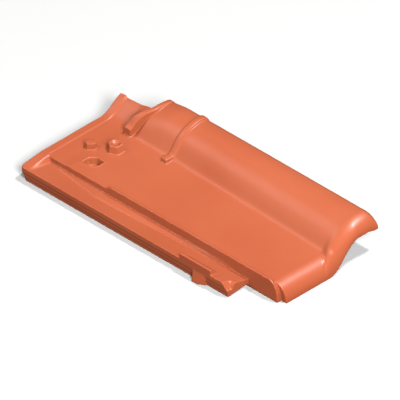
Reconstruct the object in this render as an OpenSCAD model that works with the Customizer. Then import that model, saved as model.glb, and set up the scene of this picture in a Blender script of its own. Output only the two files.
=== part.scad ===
// Interlocking clay roof tile with a side roll, pressed and fired in one piece.
// +X runs across from the side lock to the roll, +Y runs up the slope to the head.
// Inside the functions a point is given as across (from the lock's outer edge)
// and along (from the head edge), with heights above the plane that the tile lies on.

/* [Overall] */
// Length from the head edge to the nose
tile_length = 420; // [380:1:510]
// Width from the lock's outer edge to the roll's side
tile_width = 204; // [195:1:245]
// Thickness of the fired clay
clay = 11; // [9:0.5:12]

/* [Pan] */
// Height of the pan's flat top
pan_height = 24; // [22:0.5:29]
// Where the rib along the pan's edge starts, from the head edge
edge_rib_at = 112; // [90:1:200]
// Height of that rib over the pan
edge_rib_height = 4.5; // [1:0.5:6]

/* [Side lock] */
// Width of the lock, up to the pan's wall
lock_width = 36.5; // [33:0.5:42]
// Length of the lock from the head edge
lock_length = 360; // [300:1:368]
// Height of the lock's outer edge
lock_height = 20; // [18:0.5:22]
// Fall of the lock's channel from its outer edge to the wall
lock_fall = 9; // [5:0.5:10]
// Height of the raised strip where it meets the wall
strip_height = 16; // [15.8:0.1:18]
// How far the strip's other side stands over the channel
strip_step = 1.1; // [0.5:0.1:2]
// Thickness of the clay under the lock's channel
lock_clay = 8; // [6:0.5:9]
// Width of the lip under the lock's outer edge and the pan's wall
lip_width = 10; // [8:0.5:12]
// How far the spacer lug stands out from the lock's edge
lug_reach = 5; // [2:0.5:8]
// Length of the spacer lug
lug_length = 22; // [14:1:30]
// Height of the raised block on the lock's edge
block_height = 6.6; // [3:0.2:8]
// Length of the raised block
block_length = 53; // [30:1:70]

/* [Roll] */
// Height of the roll's crest
crest_height = 57; // [52:0.5:66]
// Distance from the crest to the roll's side
crest_inset = 18; // [14:0.5:24]
// Width of the roll's foot, from its side to the pan, at the head end
roll_width = 66; // [58:0.5:74]
// How much the roll widens towards the nose
roll_spread = 9; // [0:0.5:12]
// Slope of the roll's flank, as rise over run
flank_slope = 1.35; // [1.1:0.05:1.7]
// Radius of the roll's outer corner, limited by the clay's thickness
side_radius = 10; // [6:0.5:14]
// Height of the roll side's lower edge
side_bottom = 33; // [30:0.5:38]

/* [Head] */
// Length of the head part, which the next tile up covers
head_length = 55; // [45:1:62]
// How much narrower the head part is than the tile
head_inset = 28; // [20:0.5:34]
// Height of the head part's upturned corner
head_rise = 42.5; // [38:0.5:46]
// Width of the rim along the head edge
rim_width = 10.6; // [8:0.2:14]

/* [Nose] */
// Radius of the nose over the pan
nose_radius = 22; // [16:0.5:24]
// Radius of the nose over the roll's crest
roll_nose_radius = 20; // [12:0.5:22]
// How much longer the nose's bend is over the roll's flank
flank_nose_extra = 7; // [0:0.5:8]
// Set-back of the nose at the end of the edge rib
nose_step = 9; // [5:0.5:12]
// Width of that set-back and of the edge rib, from the wall
nose_step_width = 7; // [4:0.5:10]
// How much further the roll's foot flares out over the nose
nose_flare = 14; // [0:0.5:18]
// Height of the arch in the nose over the roll
arch_height = 36; // [33:0.5:39]
// Height of the nose's upright face over the pan
nose_face = 1.5; // [1:0.5:6]

/* [Ribs and studs] */
// Middle of the first rib at its foot, from the head edge
rib_1_at = 51; // [48:0.5:56]
// Height of the first rib's foot over the pan
rib_1_foot = 10.5; // [6:0.5:16]
// Middle of the second rib, from the head edge
rib_2_at = 124; // [110:1:150]
// Height of the second rib over the roll
rib_2_height = 3; // [1.5:0.5:5]
// Width of a rib
rib_width = 9; // [7:0.5:11]
// Distance of the nail stud from the head edge
stud_at = 62.5; // [58:0.5:70]
// Diameter of the nail stud at its base
stud_d = 25; // [20:0.5:28]
// Height of the nail stud over the pan
stud_height = 10; // [6:0.5:12]
// Diameter of the blind nail hole, open below
nail_d = 6; // [4:0.5:7]
// Depth of a nib along the slope
nib_depth = 30; // [26:0.5:36]
// Width of a nib
nib_width = 26; // [20:0.5:28]
// Distance between the middles of the nibs
nib_spacing = 60; // [56:0.5:64]
// Depth of the slanted pocket over the first nib
pocket_depth = 9.5; // [4:0.5:10]
// Length and width of the pocket
pocket_length = 26; // [16:0.5:28]
pocket_width = 16; // [10:0.5:18]
// Width and height of the small shield-shaped stud
shield_width = 17; // [10:0.5:18]
shield_height = 8; // [4:0.5:10]

/* [Hidden] */

// Small slope of faces that leave the press, and how far added shapes sink into the body
draft = 0.8;
sink = 3;
foot_bend = 4.5;
edge_rib_flat = 2.4;
corner_radius = 5;
lock_deepens = 150;
round_fn = 48;
clay_colour = "#dc7048";

// Across position of the overall middle, lug included
middle = (tile_width - lug_reach) / 2;
pan_under = pan_height - clay;
block_at = lock_length - 82;
stud_across = lock_width + 67.5;
nib_across = lock_width + 29.5;
nib_at = stud_at - 16;
wall_top = lock_width + draft;
crest_at = tile_width - crest_inset;
head_width = tile_width - head_inset;
step_width = lock_width + nose_step_width;
nose_inner = tile_length - roll_nose_radius - 2;
roll_face = 2;
nose_foot = tile_width - roll_width - roll_spread;
flare_length = roll_nose_radius + flank_nose_extra;
rib_full_at = edge_rib_at + 2 * edge_rib_height;
corner = min(side_radius, clay - 1);

// 0 below -r and d above r, with a smooth bend between
function hinge(d, r) = d < -r ? 0 : d > r ? d : pow(d + r, 2) / (4 * r);
function clamp(t) = min(max(t, 0), 1);
function ramp(t) = let (c = clamp(t)) c * c * (3 - 2 * c);
function mix(a, b, t) = a + (b - a) * t;

// Where the roll's flank leaves the pan; the roll widens past the second rib and flares at the nose
function foot_at(along) =
    tile_width - roll_width - roll_spread * max(0, along - rib_2_at) / (tile_length - rib_2_at)
    - nose_flare * ramp((along - (tile_length - flare_length)) / flare_length);

// Rise of the roll over the pan: a straight flank, then a round crown that it touches
function roll_rise(across, foot, crown) =
    let (
        lean = atan(flank_slope),
        r = (flank_slope * (crest_at - foot) - crown) / (1 / cos(lean) - 1),
        d = across - crest_at
    )
    d > -r * sin(lean)
        ? crown - r + sqrt(r * r - d * d)
        : flank_slope * hinge(across - foot, foot_bend);

// Fall of the roll's outer corner, a quarter circle
function side_fall(across, r) =
    let (d = min(max(across - (tile_width - r), 0), r)) r - sqrt(r * r - d * d);

// The crest rises a little from the first rib to the second
function crown_rise(along) =
    crest_height - pan_height
    - 4.5 * (1 - ramp(1.6 * (along - head_length) / (rib_2_at - head_length)));

// Rise of the head part: a hollow bend up to the corner, eased at its top
function head_part_rise(across, along) =
    let (
        start = tile_width - roll_width - 1,
        t = max(across - start, 0) / (head_width - start),
        full = head_rise - pan_height + 3.5 * clamp(along / head_length)
    )
    full * ramp(0.92 * pow(t, 1.15)) / ramp(0.92);

// The head part gives way to the full roll under the first rib
function rise(across, along, foot) =
    mix(
        head_part_rise(across, along),
        roll_rise(across, foot, crown_rise(along)),
        ramp((along - head_length) / 12)
    );

// The nose's lower edge lies on the base plane and arches up under the roll
function nose_bottom(across) =
    let (start = nose_foot - 8)
    arch_height * ramp((across - start) / (crest_at - 17 - start))
    - (arch_height - side_bottom) * ramp((across - crest_at) / (crest_inset - 4));

// Length of the nose's bend, longest over the roll's flank
function nose_bend(across) =
    let (past_foot = across - nose_foot)
    across <= step_width ? tile_length - nose_inner
    : mix(nose_radius, roll_nose_radius, ramp(past_foot / 25))
        + flank_nose_extra * ramp((past_foot + 2) / 8) * ramp((43 - past_foot) / 25);

// Fall of the nose, a quarter turn down to its face
function nose_fall(across, along, top) =
    let (
        r = nose_bend(across),
        t = clamp((along - (tile_length - r)) / r),
        face = mix(nose_face, roll_face, ramp((across - nose_foot) / 25))
    )
    (top - nose_bottom(across) - face) * (1 - sqrt(1 - t * t));

// Rise of the rib along the pan's edge: it ramps up at its start, and slopes to the pan inside
function edge_rib(across, along) =
    edge_rib_height * clamp((along - edge_rib_at) / (rib_full_at - edge_rib_at))
    * clamp((step_width - across) / (step_width - wall_top - edge_rib_flat));

function body_top(across, along) =
    let (
        top = pan_height + rise(across, along, foot_at(along)) + edge_rib(across, along)
            - side_fall(across, corner) * ramp((along - head_length) / 12)
    )
    top - nose_fall(across, along, top);

function body_under(across, along) =
    let (shift = clay * (sqrt(1 + flank_slope * flank_slope) - 1) / flank_slope)
    pan_under + rise(across, along, foot_at(along) + shift);

// The lock's channel starts shallow at the head rim and deepens down the slope
function lock_top(across, along) =
    let (
        depth = lock_fall * (0.45 + 0.55 * ramp((along - rim_width) / lock_deepens)),
        fall = depth * across / lock_width
    )
    lock_height - fall
    + (fall + (pan_height - lock_height) * clamp(across / lock_width))
        * ramp((2 * rim_width - along) / rim_width);

// Across positions of one cross-section; the roll's foot shifts along the tile
function section(along) =
    let (
        foot = foot_at(along),
        inner = tile_width - clay
    )
    concat(
        [0, lip_width, lip_width + draft, lock_width * 0.65, lock_width],
        [wall_top, wall_top + edge_rib_flat, step_width, step_width + draft, step_width + lip_width],
        [step_width + lip_width + draft, mix(step_width, foot, 0.6), foot - 16],
        [for (i = [0:15]) mix(foot - 8, inner, i / 15)],
        [inner + draft],
        [for (t = [0:15:90]) tile_width - corner * (1 - sin(t))]
    );

// Places in that list: the wall's foot, the end of the nose's set-back, and the end of the wall's lip
wall_column = 4;
step_column = 7;
web_column = 9;

// The nose is set back at the edge rib, so the columns there run a little short
function set_back(column, along) =
    column > step_column ? 0
    : nose_step * max(0, along - nose_inner) / (tile_length - nose_inner);

// Lips reach down to the base under the lock's edge, the pan's wall and the nose
function under_at(column, count, across, along) =
    column < 2 ? (along < rim_width / 2 ? lock_height / 2 : 0)
    : along > nose_inner - draft / 2 ? (column <= web_column ? 0 : nose_bottom(across))
    : column < wall_column ? lock_height - lock_fall * across / lock_width - lock_clay
    : column <= web_column && along > rim_width ? 0
    : column > count - 9 && along > head_length ? side_bottom
    : body_under(across, along);

function body_row(along) =
    let (a = section(along), n = len(a))
    [
        a,
        [for (i = [0:n - 1]) i <= wall_column ? lock_top(a[i], along) : body_top(a[i], along)],
        [for (i = [0:n - 1]) under_at(i, n, a[i], along)],
        [for (i = [0:n - 1]) along - set_back(i, along)]
    ];

stations = concat(
    [0, rim_width / 2, rim_width, rim_width * 1.33, rim_width * 1.67, 2 * rim_width, 36, head_length],
    [for (i = [1:4]) head_length + 3 * i],
    [for (i = [1:2]) mix(head_length + 12, edge_rib_at, i / 3)],
    [edge_rib_at, rib_full_at],
    [for (i = [1:4]) mix(rib_full_at, nose_inner - 5, i / 5)],
    [nose_inner - 5, nose_inner - 2.5, nose_inner - draft, nose_inner],
    [for (t = [10:10:90]) tile_length - roll_nose_radius * (1 - sin(t))]
);

// One closed skin over rows of points: across, top heights, underside heights, along
module skin(rows) {
    m = len(rows);
    n = len(rows[0][0]);
    points = [
        for (r = rows, side = [1, 2], i = [0:n - 1])
            [r[0][i] - middle, tile_length / 2 - r[3][i], r[side][i]]
    ];
    function top(j, i) = j * 2 * n + i;
    function under(j, i) = top(j, i) + n;
    // The four corners of one patch, as two triangles
    function patch(a, b, c, d) = [[a, b, c], [a, c, d]];
    faces = [
        for (j = [0:m - 2], i = [0:n - 2])
            each concat(
                patch(top(j, i), top(j, i + 1), top(j + 1, i + 1), top(j + 1, i)),
                patch(under(j, i), under(j + 1, i), under(j + 1, i + 1), under(j, i + 1))
            ),
        for (j = [0:m - 2])
            each concat(
                patch(top(j, 0), top(j + 1, 0), under(j + 1, 0), under(j, 0)),
                patch(top(j, n - 1), under(j, n - 1), under(j + 1, n - 1), top(j + 1, n - 1))
            ),
        for (i = [0:n - 2])
            each concat(
                patch(top(0, i), under(0, i), under(0, i + 1), top(0, i + 1)),
                patch(top(m - 1, i), top(m - 1, i + 1), under(m - 1, i + 1), under(m - 1, i))
            )
    ];
    polyhedron(points, faces);
}

// Moves a child to a place given across and along
module place(across, along, z = 0) {
    translate([across - middle, tile_length / 2 - along, z]) children();
}

// An upright block over an outline of [across, along] points
module block(outline, z, height) {
    place(0, 0, z)
        linear_extrude(height)
            polygon([for (p = outline) [p[0], -p[1]]]);
}

module body() {
    skin([for (s = stations) body_row(s)]);
}

// Middle line of the first rib: it slants up the flank, then runs straight across
function rib_1_line(across) =
    rib_1_at + 15 * ramp((across - foot_at(rib_1_at)) / 35);

// The first rib is tallest at its foot and thins out over the crown
module rib_1() {
    start = foot_at(rib_1_at) - 2.5;
    across = [for (i = [0:14]) mix(start, tile_width - draft, i / 14)];
    last = head_length + 12;
    skin([
        for (side = [-1, 1])
            [
                across,
                [
                    for (a = across)
                        body_top(a, last)
                        + mix(rib_1_foot, 1.5, ramp((a - start) / 60))
                ],
                [for (a = across) body_top(a, max(last, rib_1_line(a))) - (a < head_width ? clay : sink)],
                [
                    for (a = across)
                        rib_1_line(a) + side * mix(rib_width + 2.5, rib_width - 2, ramp((a - start) / 40)) / 2
                ]
            ]
    ]);
}

// The second rib runs straight across the roll from a low foot on the pan
module rib_2() {
    start = foot_at(rib_2_at) - 12;
    across = [for (i = [0:17]) mix(start, tile_width - draft, i / 17)];
    skin([
        for (side = [-1, 1])
            [
                across,
                [
                    for (a = across)
                        max(body_top(a, rib_2_at), pan_height + 2.5) + rib_2_height
                        - (a > tile_width - 2 ? rib_2_height : 0)
                ],
                [for (a = across) body_top(a, rib_2_at) - sink],
                [for (a = across) rib_2_at + side * rib_width / 2]
            ]
    ]);
}

// The raised strip of the lock beside the pan's wall, widest near the edge rib's start
module lock_strip() {
    last = lock_length * 0.93;
    widest = edge_rib_at - 5;
    deepest = max(rim_width + lock_deepens, widest + 10);
    narrow = lock_width - 0.6;
    wide = lock_width * 0.6;
    skin([
        for (p = [
            [head_length * 0.6, lock_width - 5], [widest, wide],
            [deepest, mix(wide, narrow, (deepest - widest) / (last - widest))], [last, narrow]
        ])
            let (z = lock_top(p[1], p[0]) + strip_step)
            [
                [p[1], wall_top],
                [z, strip_height],
                [z - lock_clay + 1, z - lock_clay + 1],
                [p[0], p[0]]
            ]
    ]);
}

// The raised block on the lock's outer edge, sloping down to the channel
module edge_block() {
    place(0, block_at, lock_height)
        rotate([90, 0, 0])
            linear_extrude(block_length)
                polygon([[0, -sink], [0, block_height], [3, block_height], [14, -sink], [12, -2 * sink]]);
}

// The lug on the lock's side, which spaces the tile from its neighbour; its top slopes back
module side_lug() {
    start = block_at + block_length / 2 - 5;
    place(0, start, 0)
        rotate([90, 0, 0])
            linear_extrude(lug_length)
                polygon([
                    [lip_width - 1, 0], [-lug_reach, 0], [-lug_reach, lock_height * 0.25],
                    [0.5, lock_height * 0.55], [lip_width - 1, lock_height * 0.55]
                ]);
}

// The lip under the lock's free end, thinner towards the pan's wall
module lock_end() {
    place(0, lock_length - lip_width, 0)
        rotate([90, 0, 0])
            linear_extrude(lip_width)
                polygon([
                    [0, 0], [lock_width + draft, 4],
                    [lock_width + draft, lock_height - lock_fall - 1], [0, lock_height - 1]
                ]);
}

// The nib that hooks behind the roof batten
module nib(across) {
    block(
        [
            [across - nib_width / 2, nib_at], [across + nib_width / 2, nib_at],
            [across + nib_width / 2, nib_at + nib_depth], [across - nib_width / 2, nib_at + nib_depth]
        ],
        0,
        pan_under + sink
    );
}

module nail_stud() {
    place(stud_across, stud_at, pan_height - sink)
        cylinder(h = stud_height + sink, d1 = stud_d, d2 = stud_d - 5, $fn = 6);
}

// The small shield-shaped stud beside the nail stud
module shield_stud() {
    place(stud_across - 18, stud_at - 25, pan_height - sink)
        rotate([0, 0, -45])
            linear_extrude(shield_height + sink, scale = 0.8)
                polygon(shield_width * [[-0.5, 0], [-0.35, 0.4], [0.35, 0.4], [0.5, 0], [0.3, -0.3], [-0.3, -0.3]]);
}

// The dished top of the nail stud and the blind nail hole below it
module nail_hole() {
    dish = 10;
    place(stud_across, stud_at, pan_height + stud_height + dish - 2.5) sphere(dish, $fn = round_fn);
    place(stud_across, stud_at, -1)
        cylinder(h = pan_height + stud_height - 5.5, d = nail_d, $fn = round_fn);
}

// A slot outline with both ends cut to a point
module hexagon_slot(length, width) {
    x = length / 2;
    y = width / 2;
    polygon([[-x, 0], [y - x, y], [x - y, y], [x, 0], [x - y, -y], [y - x, -y]]);
}

// The slanted pocket over the first nib
module pocket() {
    place(nib_across, stud_at - 1, pan_height - pocket_depth)
        rotate([0, 0, -45])
            linear_extrude(pocket_depth + 1)
                hexagon_slot(pocket_length, pocket_width);
}

// What is left out at the corners: the lock beyond its end and the head part's outer corner
module corners() {
    block(
        [
            [-lug_reach - 1, lock_length], [lock_width, lock_length],
            [lock_width, tile_length + 1], [-lug_reach - 1, tile_length + 1]
        ],
        -1,
        crest_height + 10
    );
    block(
        [
            [head_width, -1], [tile_width + 1, -1],
            [tile_width + 1, head_length + 1], [head_width, head_length - 1]
        ],
        -1,
        crest_height + 10
    );
    // A round corner, cut off in short steps
    block(
        concat(
            [[-1, -1]],
            [for (t = [0:15:90]) corner_radius * [1 - cos(t), 1 - sin(t)]]
        ),
        -1,
        crest_height
    );
}

module roof_tile() {
    color(clay_colour)
        difference() {
            union() {
                body();
                rib_1();
                rib_2();
                lock_strip();
                edge_block();
                side_lug();
                lock_end();
                nib(nib_across);
                nib(nib_across + nib_spacing);
                nail_stud();
                shield_stud();
            }
            nail_hole();
            pocket();
            corners();
        }
}

roof_tile();
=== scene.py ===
import bpy
import bmesh
import math
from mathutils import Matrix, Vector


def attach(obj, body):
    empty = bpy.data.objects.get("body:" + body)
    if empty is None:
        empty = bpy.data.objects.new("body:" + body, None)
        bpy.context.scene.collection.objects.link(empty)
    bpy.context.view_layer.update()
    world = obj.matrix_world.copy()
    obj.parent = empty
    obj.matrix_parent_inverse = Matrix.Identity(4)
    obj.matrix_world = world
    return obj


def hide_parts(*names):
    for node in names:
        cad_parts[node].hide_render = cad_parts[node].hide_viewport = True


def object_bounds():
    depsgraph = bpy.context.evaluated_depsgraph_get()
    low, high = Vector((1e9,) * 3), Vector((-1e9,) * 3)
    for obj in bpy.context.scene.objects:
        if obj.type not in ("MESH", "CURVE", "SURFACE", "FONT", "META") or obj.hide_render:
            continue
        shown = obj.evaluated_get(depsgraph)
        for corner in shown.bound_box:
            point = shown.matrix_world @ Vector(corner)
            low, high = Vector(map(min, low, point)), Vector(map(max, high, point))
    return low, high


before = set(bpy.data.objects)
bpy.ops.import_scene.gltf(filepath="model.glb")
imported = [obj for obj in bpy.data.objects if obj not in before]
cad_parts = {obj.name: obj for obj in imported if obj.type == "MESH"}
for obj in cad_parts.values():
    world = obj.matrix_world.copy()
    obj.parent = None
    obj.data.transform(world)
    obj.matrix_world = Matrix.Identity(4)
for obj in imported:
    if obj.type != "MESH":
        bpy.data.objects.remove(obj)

from types import SimpleNamespace
from mathutils import Vector

cadBox = [list(corner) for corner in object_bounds()]
lowCorner, highCorner = (Vector(corner) for corner in cadBox)
scene = bpy.context.scene
millimetre = 0.001


# Adds one node, with its settings, and its inputs filled from values or linked from sockets
def addNode(tree, kind, inputs=None, **settings):
    node = tree.nodes.new(kind)
    for name, value in settings.items():
        setattr(node, name, value)
    for key, value in (inputs or {}).items():
        if isinstance(value, bpy.types.NodeSocket):
            tree.links.new(value, node.inputs[key])
        else:
            node.inputs[key].default_value = value
    return node


# A number that flows through a tree of Math nodes, so that a rule can be written as arithmetic
class Flow:
    tree = None

    def __init__(self, socket):
        self.socket = socket

    def __add__(self, other):
        return calc("ADD", self, other)

    def __radd__(self, other):
        return calc("ADD", other, self)

    def __sub__(self, other):
        return calc("SUBTRACT", self, other)

    def __rsub__(self, other):
        return calc("SUBTRACT", other, self)

    def __mul__(self, other):
        return calc("MULTIPLY", self, other)

    def __rmul__(self, other):
        return calc("MULTIPLY", other, self)

    def __truediv__(self, other):
        return calc("DIVIDE", self, other)


def plain(term):
    return term.socket if isinstance(term, Flow) else term


def calc(operation, *terms, clamped=False):
    inputs = {place: plain(term) for place, term in enumerate(terms)}
    node = addNode(Flow.tree, "ShaderNodeMath", inputs, operation=operation, use_clamp=clamped)
    return Flow(node.outputs[0])


def clamp(t):
    return calc("ADD", t, 0.0, clamped=True)


def root(t):
    return calc("SQRT", t)


def above(a, b):
    return calc("GREATER_THAN", a, b)


def lower(a, b):
    return calc("MINIMUM", a, b)


def higher(a, b):
    return calc("MAXIMUM", a, b)


# 0 to 1 as t goes from start to end, easing in and out
def ease(t, start=0.0, end=1.0):
    inputs = {"Value": plain(t), "From Min": plain(start), "From Max": plain(end)}
    return Flow(addNode(Flow.tree, "ShaderNodeMapRange", inputs, interpolation_type="SMOOTHSTEP").outputs[0])


def mix(a, b, share):
    return a + (b - a) * share


# 0 below -r and d above r, with a smooth bend between
def hinge(d, r):
    bent = calc("POWER", higher(d + r, 0.0), 2.0) / (4 * r)
    return mix(bent, d, above(d, r))


# Millimetres. Across runs from the lock's outer edge to the roll's side, along from the head to the nose
tileSizes = {
    "tileLength": 420.0,
    "tileWidth": 204.0,
    "clayThickness": 11.0,
    "panHeight": 24.0,
    "edgeRibAt": 112.0,
    "edgeRibHeight": 4.5,
    "edgeRibFlat": 2.4,
    "lockWidth": 36.6,
    "lockLength": 360.0,
    "lockHeight": 20.0,
    "lockFall": 9.0,
    "lockClay": 8.0,
    "lockDeepens": 150.0,
    "stripHeight": 16.0,
    "stripStep": 1.7,
    "lipWidth": 10.0,
    "crestHeight": 57.0,
    "crestInset": 18.0,
    "rollWidth": 66.0,
    "rollSpread": 9.0,
    "flankSlope": 1.35,
    "sideRadius": 10.0,
    "sideBottom": 33.0,
    "headLength": 55.0,
    "headInset": 28.0,
    "headRise": 42.5,
    "rimWidth": 10.6,
    "rimStep": 2.4,
    "noseRadius": 22.0,
    "rollNoseRadius": 20.0,
    "flankNoseExtra": 7.0,
    "noseFlare": 14.0,
    "noseStep": 9.0,
    "noseStepWidth": 7.0,
    "archHeight": 36.0,
    "noseFace": 1.5,
    "ribOneAt": 51.0,
    "ribOneFoot": 10.0,
    "ribTwoAt": 124.0,
    "ribTwoHeight": 3.0,
    "ribWidth": 9.0,
    "studAt": 62.5,
    "nailHole": 6.0,
    "pocketDepth": 9.5,
    "pocketLength": 26.0,
    "pocketWidth": 16.0,
}
# Smaller shapes of the pressing die. Millimetres, apart from shares, turns and powers
dieDetails = {
    "wallDraft": 0.4,
    "footBend": 4.5,
    "crownDrop": 4.5,
    "crownSpeed": 1.6,
    "headBlend": 12.0,
    "headFootShift": 1.0,
    "headEndRise": 3.5,
    "headTurn": 0.92,
    "headPower": 1.15,
    "headTurnFull": 0.982,
    "flareLength": 27.0,
    "archStart": 8.0,
    "archEnd": 17.0,
    "archFallEnd": 4.0,
    "noseBehind": 2.0,
    "overRoll": 25.0,
    "flankBendFull": 6.0,
    "flankBendEnds": 18.0,
    "rollFace": 2.0,
    "rimStepOnPan": 0.7,
    "rimSoftness": 0.5,
    "rimStepFades": 34.0,
    "rimStepStop": 6.0,
    "rimStepRise": 10.0,
    "rimStepFull": 16.0,
    "nibFromLock": 29.4,
    "studFromLock": 67.4,
    "diagonal": 0.7071,
    "pocketLip": 0.3,
    "pocketWall": 1.3,
    "pocketRing": 2.4,
    "pocketRingInner": 0.4,
    "pocketRingOuter": 2.6,
    "pocketRingHeight": 0.5,
    "nailHoleDepth": 8.0,
    "nailHoleSoftness": 0.3,
    "channelStart": 0.45,
    "rimRampStart": 1.75,
    "rimRampEnd": 1.1,
    "edgeOverlap": 2.0,
    "edgeEndBend": 16.0,
    "edgeFace": 3.0,
    "lockCorner": 5.0,
    "lockOverlap": 3.0,
    "endDrop": 9.0,
    "endDropLength": 9.0,
    "endDropInner": 15.0,
    "endDropOuter": 8.0,
    "headLipRise": 10.0,
    "endLipRise": 4.0,
    "upperLean": 0.9,
    "lowerLean": 1.1,
    "evenLean": 0.5,
    "leanTop": 13.0,
    "upperBandEnd": 11.6,
    "lowerBandTop": 6.6,
    "lowerBandEnd": 5.4,
    "stripStart": 0.6,
    "stripEnd": 0.93,
    "stripStartWidth": 5.0,
    "stripWide": 0.6,
    "stripNarrow": 0.6,
    "stripThickness": 6.0,
    "creaseSlope": 1.7,
    "creaseDepth": 0.8,
    "ribSoftening": 0.7,
    "ribFloat": 0.8,
    "ribSink": 3.0,
    "ribOneStart": 2.5,
    "ribOneClimb": 15.0,
    "ribOneClimbLength": 35.0,
    "ribOneCrest": 1.5,
    "ribOneNarrows": 40.0,
    "ribOneSinks": 60.0,
    "ribTwoFoot": 12.0,
    "ribTwoStep": 2.5,
}
lugReach = 5.0
middleAcross = (tileSizes["tileWidth"] - lugReach) / 2
meshSteps = {"Columns": 320, "Rows": 420, "Lock columns": 72, "Lock rows": 360}


def buildTileTree():
    tree = bpy.data.node_groups.new("pressedTile", "GeometryNodeTree")
    Flow.tree = tree
    for name in tileSizes:
        tree.interface.new_socket(name, in_out="INPUT", socket_type="NodeSocketFloat")
    for name in meshSteps:
        tree.interface.new_socket(name, in_out="INPUT", socket_type="NodeSocketInt")
    tree.interface.new_socket("Material", in_out="INPUT", socket_type="NodeSocketMaterial")
    tree.interface.new_socket("Geometry", in_out="OUTPUT", socket_type="NodeSocketGeometry")
    entry = addNode(tree, "NodeGroupInput")
    s = SimpleNamespace(**{name: Flow(entry.outputs[name]) for name in tileSizes})
    d = SimpleNamespace(**dieDetails)

    crestAt = s.tileWidth - s.crestInset
    headWidth = s.tileWidth - s.headInset
    stepWidth = s.lockWidth + s.noseStepWidth
    noseInner = s.tileLength - s.rollNoseRadius - d.noseBehind
    wallTop = s.lockWidth + d.wallDraft
    panUnder = s.panHeight - s.clayThickness
    noseFoot = s.tileWidth - s.rollWidth - s.rollSpread
    # From the flank's slope: its sine, and how far its underside's foot is shifted
    slant = root(1.0 + s.flankSlope * s.flankSlope)
    leanSin = s.flankSlope / slant
    footShift = s.clayThickness * (slant - 1.0) / s.flankSlope

    def footAt(along):
        spread = higher(along - s.ribTwoAt, 0.0) / (s.tileLength - s.ribTwoAt)
        flare = s.noseFlare * ease(along, s.tileLength - d.flareLength, s.tileLength)
        return s.tileWidth - s.rollWidth - s.rollSpread * spread - flare

    # A straight flank, then a round crown that it touches
    def rollRise(across, foot, crown):
        r = (s.flankSlope * (crestAt - foot) - crown) / (slant - 1.0)
        fromCrest = across - crestAt
        dome = crown - r + root(higher(r * r - fromCrest * fromCrest, 0.0))
        flank = s.flankSlope * hinge(across - foot, d.footBend)
        return mix(flank, dome, above(fromCrest, -1.0 * r * leanSin))

    # The head part: a hollow bend up to the corner, eased at its top
    def headRise(across, along):
        start = s.tileWidth - s.rollWidth - d.headFootShift
        t = higher(across - start, 0.0) / (headWidth - start)
        full = s.headRise - s.panHeight + d.headEndRise * clamp(along / s.headLength)
        return full * ease(d.headTurn * calc("POWER", t, d.headPower)) / d.headTurnFull

    # The head part gives way to the full roll under the first rib
    def rise(across, along, foot):
        crownEase = ease(d.crownSpeed * (along - s.headLength) / (s.ribTwoAt - s.headLength))
        crown = s.crestHeight - s.panHeight - d.crownDrop * (1.0 - crownEase)
        toRoll = ease(along, s.headLength, s.headLength + d.headBlend)
        return mix(headRise(across, along), rollRise(across, foot, crown), toRoll)

    # The nose's lower edge lies on the base plane and arches up under the roll
    def noseBottom(across):
        arch = s.archHeight * ease(across, noseFoot - d.archStart, crestAt - d.archEnd)
        return arch - (s.archHeight - s.sideBottom) * ease(across, crestAt, s.tileWidth - d.archFallEnd)

    # A quarter turn down to the nose's face, over the longest bend on the roll's flank
    def noseFall(across, along, top):
        overRoll = ease(across, noseFoot, noseFoot + d.overRoll)
        flankEnds = noseFoot + d.flankBendEnds
        onFlank = ease(across, noseFoot - 2.0, noseFoot + d.flankBendFull) \
            * ease(across, flankEnds + d.overRoll, flankEnds)
        bend = mix(s.noseRadius, s.rollNoseRadius, overRoll) + s.flankNoseExtra * onFlank
        t = clamp((along - (s.tileLength - bend)) / bend)
        turn = 1.0 - root(1.0 - t * t)
        return (top - noseBottom(across) - mix(s.noseFace, d.rollFace, overRoll)) * turn

    def bodyTop(across, along):
        c = clamp((across - (s.tileWidth - s.sideRadius)) / s.sideRadius)
        pastHead = ease(along, s.headLength, s.headLength + d.headBlend)
        sideFall = s.sideRadius * (1.0 - root(1.0 - c * c)) * pastHead
        top = s.panHeight + rise(across, along, footAt(along)) - sideFall
        return top - noseFall(across, along, top)

    def bodyUnder(across, along):
        return panUnder + rise(across, along, footAt(along) + footShift)

    # The rim along the head stands a little proud of what lies behind it
    def headRim(across, along):
        behind = ease(along, s.rimWidth - d.rimSoftness, s.rimWidth + d.rimSoftness) \
            * (1.0 - ease(along, d.rimStepFades, s.headLength - d.rimStepStop))
        onRise = ease(across, noseFoot + d.rimStepRise, headWidth - d.rimStepFull)
        return behind * mix(d.rimStepOnPan, s.rimStep, onRise)

    # A slanted slot with pointed ends, and a low raised ring round it
    def pocketDepth(across, along):
        dx = across - (s.lockWidth + d.nibFromLock)
        dy = along - (s.studAt - 1.0)
        p = calc("ABSOLUTE", (dx + dy) * d.diagonal)
        q = calc("ABSOLUTE", (dx - dy) * d.diagonal)
        outside = higher(q - s.pocketWidth / 2.0, p + q - s.pocketLength / 2.0)
        ring = ease(calc("ABSOLUTE", outside - d.pocketRing), d.pocketRingOuter, d.pocketRingInner)
        return s.pocketDepth * ease(outside, d.pocketLip, -d.pocketWall) - d.pocketRingHeight * ring

    # The lock's channel starts shallow at the head rim and deepens down the slope
    def lockTop(across, along):
        deepening = ease(along, s.rimWidth, s.rimWidth + s.lockDeepens)
        depth = s.lockFall * (d.channelStart + (1.0 - d.channelStart) * deepening)
        fall = depth * across / s.lockWidth
        rim = ease(along, d.rimRampStart * s.rimWidth, d.rimRampEnd * s.rimWidth)
        toPan = (s.panHeight - s.lockHeight) * clamp(across / s.lockWidth)
        return s.lockHeight - fall + (fall + toPan) * rim

    position = addNode(tree, "GeometryNodeInputPosition").outputs[0]
    split = addNode(tree, "ShaderNodeSeparateXYZ", {0: position})
    u = Flow(split.outputs[0]) + 0.5
    v = Flow(split.outputs[1]) + 0.5
    w = Flow(split.outputs[2]) + 0.5

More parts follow.
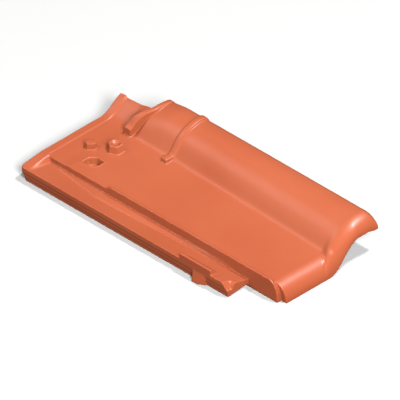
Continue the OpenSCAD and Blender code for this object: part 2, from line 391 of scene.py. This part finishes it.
    # A closed block of cells, whose points the rule then moves
    def shaped(columns, rows, layers, across, along, height):
        block = addNode(tree, "GeometryNodeMeshCube", {
            "Size": (1.0, 1.0, 1.0), "Vertices X": columns, "Vertices Y": rows, "Vertices Z": layers})
        place = addNode(tree, "ShaderNodeCombineXYZ", {
            "X": plain((across - middleAcross) * millimetre),
            "Y": plain((s.tileLength / 2.0 - along) * millimetre),
            "Z": plain(height * millimetre)})
        return addNode(tree, "GeometryNodeSetPosition", {
            "Geometry": block.outputs["Mesh"], "Position": place.outputs[0]}).outputs[0]

    # Pan, roll and head part: rows crowd together where the nose turns down, and columns at the roll's side
    noseRows = 0.9
    k = clamp((v - noseRows) / (1.0 - noseRows))
    along = noseInner * lower(v / noseRows, 1.0) \
        + (s.tileLength - noseInner) * calc("SINE", k * (math.pi / 2))
    right = mix(headWidth, s.tileWidth, above(along, s.headLength))
    cornerColumns = 0.92
    c = clamp((u - cornerColumns) / (1.0 - cornerColumns))
    across = stepWidth + (right - s.sideRadius - stepWidth) * lower(u / cornerColumns, 1.0) \
        + s.sideRadius * calc("SINE", c * (math.pi / 2))
    top = bodyTop(across, along) - headRim(across, along) - pocketDepth(across, along)
    web = above(stepWidth + s.lipWidth, across) * above(along, s.rimWidth)
    side = above(across, s.tileWidth - s.clayThickness) * above(along, s.headLength)
    under = bodyUnder(across, along) * (1.0 - web)
    under = mix(under, s.sideBottom, side)
    under = mix(under, noseBottom(across), above(along, noseInner - 0.4))
    dx = across - (s.lockWidth + d.studFromLock)
    dy = along - s.studAt
    inHole = ease(
        root(dx * dx + dy * dy), s.nailHole / 2.0 + d.nailHoleSoftness, s.nailHole / 2.0 - d.nailHoleSoftness)
    under = under + d.nailHoleDepth * inHole
    height = mix(under, top, w)
    body = shaped(entry.outputs["Columns"], entry.outputs["Rows"], 3, across, along, height)

    # The pan's edge: an upright wall, and the rib that ramps up along it and ends short of the nose
    ribEnd = s.tileLength - s.noseStep
    along = ribEnd * v
    across = mix(wallTop - d.wallDraft * (1.0 - w), stepWidth + d.edgeOverlap, u)
    ribRise = s.edgeRibHeight * clamp((along - s.edgeRibAt) / (2.0 * s.edgeRibHeight)) \
        * clamp((stepWidth - across) / (stepWidth - wallTop - s.edgeRibFlat))
    t = clamp((along - ribEnd + d.edgeEndBend) / d.edgeEndBend)
    top = s.panHeight + ribRise
    top = top - (top - d.edgeFace) * (1.0 - root(1.0 - t * t)) - headRim(across, along)
    under = mix(panUnder, 0.0, above(along, s.rimWidth))
    edgeWall = shaped(24, entry.outputs["Rows"], 24, across, along, mix(under, top, w))

    # Side lock: its head corner is round, its free corner drops, and its outer side leans in below
    along = s.lockLength * v
    corner = 1.0 - clamp(along / d.lockCorner)
    left = d.lockCorner * (1.0 - root(1.0 - corner * corner))
    across = mix(left, s.lockWidth + d.lockOverlap, u)
    endDrop = d.endDrop * ease(along, s.lockLength - d.endDropLength, s.lockLength - 1.0) \
        * ease(across, d.endDropInner, d.endDropOuter)
    top = lockTop(across, along) - endDrop
    lip = above(s.lipWidth, across)
    hollow = s.lockHeight - s.lockFall * across / s.lockWidth - s.lockClay
    endLip = d.endLipRise * across / s.lockWidth
    under = mix(hollow, d.headLipRise * ease(along, 8.0, 4.0), lip)
    under = mix(under, endLip, above(along, s.lockLength - s.lipWidth))
    height = mix(under, top, w)
    leanIn = d.upperLean * ease(height, d.leanTop, d.upperBandEnd) \
        + d.lowerLean * ease(height, d.lowerBandTop, d.lowerBandEnd) \
        + d.evenLean * clamp((d.leanTop - height) / d.leanTop)
    across = across + leanIn * (1.0 - clamp(across / s.lipWidth))
    lock = shaped(entry.outputs["Lock columns"], entry.outputs["Lock rows"], 24, across, along, height)

    # The lock's raised strip: it meets the wall at one height, and its other side stands over the channel
    last = s.lockLength * d.stripEnd
    widest = s.edgeRibAt - 5.0
    first = s.headLength * d.stripStart
    along = mix(first, last, v)
    narrow = s.lockWidth - d.stripNarrow
    wide = s.lockWidth * d.stripWide
    crease = mix(s.lockWidth - d.stripStartWidth, wide, clamp((along - first) / (widest - first))) \
        + (narrow - wide) * clamp((along - widest) / (last - widest))
    across = mix(crease, s.lockWidth + d.lockOverlap, u)
    toWall = clamp((across - crease) / (s.lockWidth - crease))
    top = mix(lockTop(crease, along) + s.stripStep, s.stripHeight, toWall)
    # It starts a little below the channel, so that its side cuts the channel cleanly
    top = top - (s.stripStep + d.creaseDepth) * (1.0 - clamp((across - crease) / d.creaseSlope))
    height = mix(top - d.stripThickness, top, w)
    strip = shaped(40, entry.outputs["Lock rows"], 6, across, along, height)

    # First rib: tallest at its foot, slanting up the flank, then straight across
    start = s.tileWidth - s.rollWidth - d.ribOneStart
    across = mix(start, s.tileWidth - d.ribFloat, u)
    climb = ease(across, start + d.ribOneStart, start + d.ribOneStart + d.ribOneClimbLength)
    line = s.ribOneAt + d.ribOneClimb * climb
    half = mix(s.ribWidth + 2.5, s.ribWidth - 2.0, ease(across, start, start + d.ribOneNarrows)) / 2.0
    rounding = calc("POWER", calc("ABSOLUTE", 2.0 * v - 1.0), 4.0)
    fullRoll = s.headLength + d.headBlend
    sinks = ease(across, start, start + d.ribOneSinks)
    lift = mix(s.ribOneFoot, d.ribOneCrest, sinks) - d.ribSoftening * rounding
    ribTop = bodyTop(across, fullRoll) + lift
    ribUnder = bodyTop(across, higher(fullRoll, line)) \
        - mix(d.ribSink, s.clayThickness, above(headWidth, across))
    ribOne = shaped(110, 9, 2, across, line + (2.0 * v - 1.0) * half, mix(ribUnder, ribTop, w))

    # Second rib: a low foot on the pan, then straight over the roll
    start = s.tileWidth - s.rollWidth - d.ribTwoFoot
    across = mix(start, s.tileWidth - d.ribFloat, u)
    offSide = 1.0 - ease(across, s.tileWidth - 5.0, s.tileWidth - 1.0)
    lift = (s.ribTwoHeight - d.ribSoftening * rounding) * offSide
    ribTop = higher(bodyTop(across, s.ribTwoAt), s.panHeight + d.ribTwoStep) + lift
    ribUnder = bodyTop(across, s.ribTwoAt) - d.ribSink
    ribTwo = shaped(120, 9, 2, across, s.ribTwoAt + (v - 0.5) * s.ribWidth, mix(ribUnder, ribTop, w))

    joined = addNode(tree, "GeometryNodeJoinGeometry")
    for part in (body, edgeWall, lock, strip, ribOne, ribTwo):
        tree.links.new(part, joined.inputs[0])
    realized = addNode(tree, "GeometryNodeRealizeInstances", {0: joined.outputs[0]})
    finished = addNode(tree, "GeometryNodeSetMaterial", {
        "Geometry": realized.outputs[0], "Material": entry.outputs["Material"]})
    addNode(tree, "NodeGroupOutput", {0: finished.outputs[0]})
    return tree


# The tree's result as a plain mesh
def evaluateTree(tree, values, name):
    carrier = bpy.data.objects.new(name, bpy.data.meshes.new(name))
    scene.collection.objects.link(carrier)
    modifier = carrier.modifiers.new("shape", "NODES")
    modifier.node_group = tree
    for item in tree.interface.items_tree:
        if item.in_out == "INPUT" and item.name in values:
            modifier[item.identifier] = values[item.name]
    mesh = bpy.data.meshes.new_from_object(carrier.evaluated_get(bpy.context.evaluated_depsgraph_get()))
    bpy.data.objects.remove(carrier)
    return mesh


# sRGB hex to linear colour
def fromHex(code):
    channels = [int(code[i:i + 2], 16) / 255 for i in (1, 3, 5)]
    return [c / 12.92 if c <= 0.04045 else ((c + 0.055) / 1.055) ** 2.4 for c in channels] + [1.0]


clayLook = {
    "colour": "#d96d47",
    "pale": "#dc724b",
    "deep": "#d56943",
    "roughness": 0.4,
    "specular": 0.5,
    "grain": 0.05,
    "waves": 0.06,
    # Repeats in a metre: tone drifts over about 90 mm, mottling over 6 mm, grain 0.9 mm, waves 22 mm
    "driftScale": 11.0,
    "mottleScale": 160.0,
    "grainScale": 1100.0,
    "waveScale": 45.0,
}


# Terracotta clay, pressed in a steel die, engobed and fired: an even orange-red with a soft satin sheen,
# slow drifts of tone from the kiln, and a fine grain that only shows in the highlights
def makeFiredClay():
    material = bpy.data.materials.new("firedTerracottaPressed")
    material.use_nodes = True
    tree = material.node_tree
    tree.nodes.clear()
    place = addNode(tree, "ShaderNodeTexCoord").outputs["Object"]
    drift = addNode(tree, "ShaderNodeTexNoise", {
        "Vector": place, "Scale": clayLook["driftScale"], "Detail": 2.0})
    mottle = addNode(tree, "ShaderNodeTexNoise", {
        "Vector": place, "Scale": clayLook["mottleScale"], "Detail": 3.0})
    grain = addNode(tree, "ShaderNodeTexNoise", {
        "Vector": place, "Scale": clayLook["grainScale"], "Detail": 2.0})
    waves = addNode(tree, "ShaderNodeTexNoise", {
        "Vector": place, "Scale": clayLook["waveScale"], "Detail": 1.0})
    toneRamp = addNode(tree, "ShaderNodeValToRGB", {"Fac": drift.outputs["Fac"]})
    toneRamp.color_ramp.elements[0].position = 0.3
    toneRamp.color_ramp.elements[0].color = fromHex(clayLook["deep"])
    toneRamp.color_ramp.elements[1].position = 0.7
    toneRamp.color_ramp.elements[1].color = fromHex(clayLook["pale"])
    fleckAmount = addNode(tree, "ShaderNodeMapRange", {
        "Value": mottle.outputs["Fac"], "From Min": 0.35, "From Max": 0.65, "To Min": 0.0, "To Max": 0.35})
    tone = addNode(tree, "ShaderNodeMix", {
        "Factor": fleckAmount.outputs[0], "A": toneRamp.outputs[0], "B": fromHex(clayLook["colour"])},
        data_type="RGBA")
    roughness = addNode(tree, "ShaderNodeMapRange", {
        "Value": mottle.outputs["Fac"],
        "To Min": clayLook["roughness"] - 0.05, "To Max": clayLook["roughness"] + 0.05})
    waveBump = addNode(tree, "ShaderNodeBump", {
        "Height": waves.outputs["Fac"], "Strength": clayLook["waves"], "Distance": 0.002})
    grainBump = addNode(tree, "ShaderNodeBump", {
        "Height": grain.outputs["Fac"], "Strength": clayLook["grain"], "Distance": 0.0003,
        "Normal": waveBump.outputs[0]})
    shader = addNode(tree, "ShaderNodeBsdfPrincipled", {
        "Base Color": tone.outputs["Result"], "Roughness": roughness.outputs[0],
        "Specular IOR Level": clayLook["specular"], "IOR": 1.5, "Normal": grainBump.outputs[0]})
    addNode(tree, "ShaderNodeOutputMaterial", {"Surface": shader.outputs[0]})
    return material


# Points across and along the tile, as metres in the frame
def place(across, along, height):
    return Vector((across - middleAcross, tileSizes["tileLength"] / 2 - along, height)) * millimetre


# Joins rings of points, in order, into one closed skin
def loft(mesh, rings):
    rows = [[mesh.verts.new(p) for p in ring] for ring in rings]
    for low, high in zip(rows, rows[1:]):
        for i in range(len(low)):
            j = (i + 1) % len(low)
            mesh.faces.new([low[i], low[j], high[j], high[i]])
    mesh.faces.new(list(reversed(rows[0])))
    mesh.faces.new(rows[-1])


smallParts = {
    "studAcross": 104.0,
    "studWidth": 25.0,
    "studHeight": 10.0,
    "shieldAcross": 85.6,
    "shieldAlong": 37.8,
    "shieldWidth": 17.0,
    "shieldHeight": 8.0,
    "blockHeight": 6.6,
    "blockLength": 53.0,
    "blockFromEnd": 82.0,
    "lugLength": 22.0,
    "nibWidth": 26.0,
    "nibDepth": 30.0,
    "nibSpacing": 60.0,
}


# What stands on the body: studs, edge block, side lug and nibs
def makeSmallParts():
    p = SimpleNamespace(**smallParts)
    t = SimpleNamespace(**tileSizes)
    d = SimpleNamespace(**dieDetails)
    mesh = bmesh.new()
    sink = 3.0

    # Hexagonal stud with a round dish in its top
    def hexRing(radius, height, roundness):
        ring = []
        for i in range(48):
            turn = 7.5 * i
            angle = math.radians(turn)
            flat = math.cos(math.radians(30)) / math.cos(math.radians(turn % 60 - 30))
            r = radius * (flat + (1 - flat) * roundness)
            ring.append(place(p.studAcross + r * math.cos(angle), t.studAt - r * math.sin(angle), height))
        return ring

    top = t.panHeight + p.studHeight
    radius = p.studWidth / 2
    loft(mesh, [
        hexRing(radius + 0.7, t.panHeight - sink, 0), hexRing(radius, t.panHeight, 0),
        hexRing(radius - 2.2, top - 1.0, 0), hexRing(radius - 3.2, top, 0.1),
        hexRing(6.2, top, 1), hexRing(4.6, top - 1.6, 1),
        hexRing(2.4, top - 2.6, 1), hexRing(0.4, top - 2.9, 1)])

    # Shield-shaped stud, turned to the diagonal
    outline = [(-0.5, 0.0), (-0.35, 0.4), (0.35, 0.4), (0.5, 0.0), (0.3, -0.3), (-0.3, -0.3)]
    rings = []
    for scale, rise in ((1.05, -sink), (1.0, 0), (0.85, p.shieldHeight)):
        ring = []
        for x, y in outline:
            x, y = x * p.shieldWidth * scale, y * p.shieldWidth * scale
            ring.append(place(
                p.shieldAcross + (x + y) * d.diagonal, p.shieldAlong + (x - y) * d.diagonal,
                t.panHeight + rise))
        rings.append(ring)
    loft(mesh, rings)

    # Prism between two ends along the tile, over a profile of across and height
    def bar(profile, start, end):
        loft(mesh, [[place(x, along, z) for x, z in profile] for along in (start, end)])

    # Prism between two heights, over an outline of across and along
    def post(outline, low, high):
        loft(mesh, [[place(x, y, z) for x, y in outline] for z in (low, high)])

    blockAt = t.lockLength - p.blockFromEnd
    bar([(0, t.lockHeight - sink), (0, t.lockHeight + p.blockHeight), (3, t.lockHeight + p.blockHeight),
         (14, t.lockHeight - sink), (12, t.lockHeight - 2 * sink)], blockAt, blockAt + p.blockLength)
    # The lug's ends taper, and its face slopes back steeply to the lock's side. Each ring gives its reach,
    # how far its two ends are drawn in, and its height as a share of the lock's
    lugAt = blockAt + p.blockLength / 2 - 5
    inside = t.lipWidth - 1
    rings = []
    for reach, start, end, height in ((lugReach, 4, 9, 0), (lugReach * 0.9, 4, 9, 0.12), (0, 1, 3, 0.72)):
        rings.append([place(x, y, t.lockHeight * height) for x, y in (
            (inside, lugAt), (0, lugAt), (-reach, lugAt + start), (-reach, lugAt + p.lugLength - end),
            (0, lugAt + p.lugLength), (inside, lugAt + p.lugLength))])
    loft(mesh, rings)
    nibAt = t.studAt - 16
    for middle in (t.lockWidth + d.nibFromLock, t.lockWidth + d.nibFromLock + p.nibSpacing):
        near, far = middle - p.nibWidth / 2, middle + p.nibWidth / 2
        post([(near, nibAt), (far, nibAt), (far, nibAt + p.nibDepth), (near, nibAt + p.nibDepth)],
             0, t.panHeight - t.clayThickness + 0.8)
    bmesh.ops.recalc_face_normals(mesh, faces=mesh.faces)
    result = bpy.data.meshes.new("smallParts")
    mesh.to_mesh(result)
    mesh.free()
    return result


firing = {"voxel": 0.0007, "softenSteps": 2, "softenFactor": 0.5, "triangles": 194000}


# Fuses the solids into one pressed body, softens its arrises, and thins flat stretches
def fuse(meshes, name, material):
    joined = bmesh.new()
    for mesh in meshes:
        joined.from_mesh(mesh)
    whole = bpy.data.meshes.new(name)
    joined.to_mesh(whole)
    joined.free()
    piece = bpy.data.objects.new(name, whole)
    scene.collection.objects.link(piece)
    remesh = piece.modifiers.new("fuse", "REMESH")
    remesh.mode = "VOXEL"
    remesh.voxel_size = firing["voxel"]
    smooth = piece.modifiers.new("soften", "SMOOTH")
    smooth.factor = firing["softenFactor"]
    smooth.iterations = firing["softenSteps"]
    fused = bpy.data.meshes.new_from_object(piece.evaluated_get(bpy.context.evaluated_depsgraph_get()))
    print("fused", len(fused.vertices), "points")
    piece.modifiers.clear()
    piece.data = fused
    count = sum(len(face.vertices) - 2 for face in fused.polygons)
    if count > firing["triangles"]:
        thin = piece.modifiers.new("thin", "DECIMATE")
        thin.ratio = firing["triangles"] / count
        fused = bpy.data.meshes.new_from_object(piece.evaluated_get(bpy.context.evaluated_depsgraph_get()))
        piece.modifiers.clear()
        piece.data = fused
    fused.name = name
    fused.shade_smooth()
    fused.materials.clear()
    fused.materials.append(material)
    return piece


firedClay = makeFiredClay()
tileTree = buildTileTree()
bodyMesh = evaluateTree(tileTree, {**tileSizes, **meshSteps, "Material": firedClay}, "tileRule")
print("rule", len(bodyMesh.vertices), "points,", len(tileTree.nodes), "nodes")
roofTile = fuse([bodyMesh, makeSmallParts()], "pressedRoofTile", firedClay)
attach(roofTile, "root")
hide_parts("roof_tile")
# The tile's own red glow would fill its steps, which stay dark under a hard studio light
roofTile.visible_diffuse = False
print("tile", len(roofTile.data.polygons), "faces")


studio = {
    "viewAzimuth": -45.0,
    "viewElevation": 35.264,
    "viewWidth": 0.4924,
    "aimRight": 0.001,
    "aimUp": -0.0052,
    "aimHeight": 0.0288,
    "viewDistance": 2.0,
    # Name: direction from the tile, width and height, watts, whether it lights the clay, and
    # whether the clay's satin skin mirrors it
    "softboxes": {
        "keySoftbox": ((-0.408, -0.697, 0.59), 1.5, 1.5, 218.0, True, False),
        "overheadLamp": ((0.22, -0.27, 0.94), 0.45, 0.45, 113.0, True, False),
        "sparkLamp": ((0.27, -0.27, 0.93), 1.1, 1.1, 400.0, False, True),
        "backSoftbox": ((-0.3, 0.58, 0.7), 1.6, 1.2, 34.0, True, True),
        "sideLamp": ((-0.80, 0.38, 0.46), 0.45, 0.45, 18.0, True, True),
    },
    "softboxDistance": 5.0,
    "skyStrength": 0.07,
    "floor": "#fbfbfa",
    "floorReach": 6.0,
}


def makeStudio():
    world = bpy.data.worlds.new("softRoom")
    scene.world = world
    world.use_nodes = True
    world.node_tree.nodes.clear()
    sky = addNode(world.node_tree, "ShaderNodeBackground", {
        "Color": (1.0, 1.0, 1.0, 1.0), "Strength": studio["skyStrength"]})
    addNode(world.node_tree, "ShaderNodeOutputWorld", {"Surface": sky.outputs[0]})

    floorMesh = bpy.data.meshes.new("floor")
    reach = studio["floorReach"]
    floorMesh.from_pydata(
        [(-reach, -reach, 0), (reach, -reach, 0), (reach, reach, 0), (-reach, reach, 0)], [], [(0, 1, 2, 3)])
    floor = bpy.data.objects.new("floor", floorMesh)
    scene.collection.objects.link(floor)
    paint = bpy.data.materials.new("matteStudioPaint")
    paint.use_nodes = True
    coat = paint.node_tree.nodes["Principled BSDF"].inputs
    coat["Base Color"].default_value = fromHex(studio["floor"])
    coat["Roughness"].default_value = 0.9
    coat["Specular IOR Level"].default_value = 0.1
    floorMesh.materials.append(paint)
    # The floor takes shadows, but throws no light up under the tile
    floor.visible_diffuse = False
    floor.visible_glossy = False

    middle = (lowCorner + highCorner) / 2
    for name, (direction, width, height, watts, lights, mirrored) in studio["softboxes"].items():
        light = bpy.data.lights.new(name, "AREA")
        light.shape = "RECTANGLE"
        light.size = width
        light.size_y = height
        light.energy = watts
        lamp = bpy.data.objects.new(name, light)
        lamp.visible_diffuse = lights
        lamp.visible_glossy = mirrored
        towards = Vector(direction).normalized()
        lamp.location = middle + towards * studio["softboxDistance"]
        lamp.rotation_euler = towards.to_track_quat("Z", "Y").to_euler()
        scene.collection.objects.link(lamp)

    azimuth, elevation = math.radians(studio["viewAzimuth"]), math.radians(studio["viewElevation"])
    back = Vector((math.sin(azimuth) * math.cos(elevation), -math.cos(azimuth) * math.cos(elevation),
                   math.sin(elevation)))
    right = Vector((math.cos(azimuth), math.sin(azimuth), 0))
    lens = bpy.data.cameras.new("camera")
    lens.type = "ORTHO"
    lens.ortho_scale = studio["viewWidth"]
    camera = bpy.data.objects.new("camera", lens)
    # The aim is the middle of the tile without its lug and second rib
    target = Vector((lugReach / 2 * millimetre, 0, studio["aimHeight"])) + right * studio["aimRight"] \
        + back.cross(right) * studio["aimUp"]
    camera.location = target + back * studio["viewDistance"]
    camera.rotation_euler = back.to_track_quat("Z", "Y").to_euler()
    scene.collection.objects.link(camera)
    scene.camera = camera
    scene.view_settings.view_transform = "Standard"


makeStudio()
print("studio set")
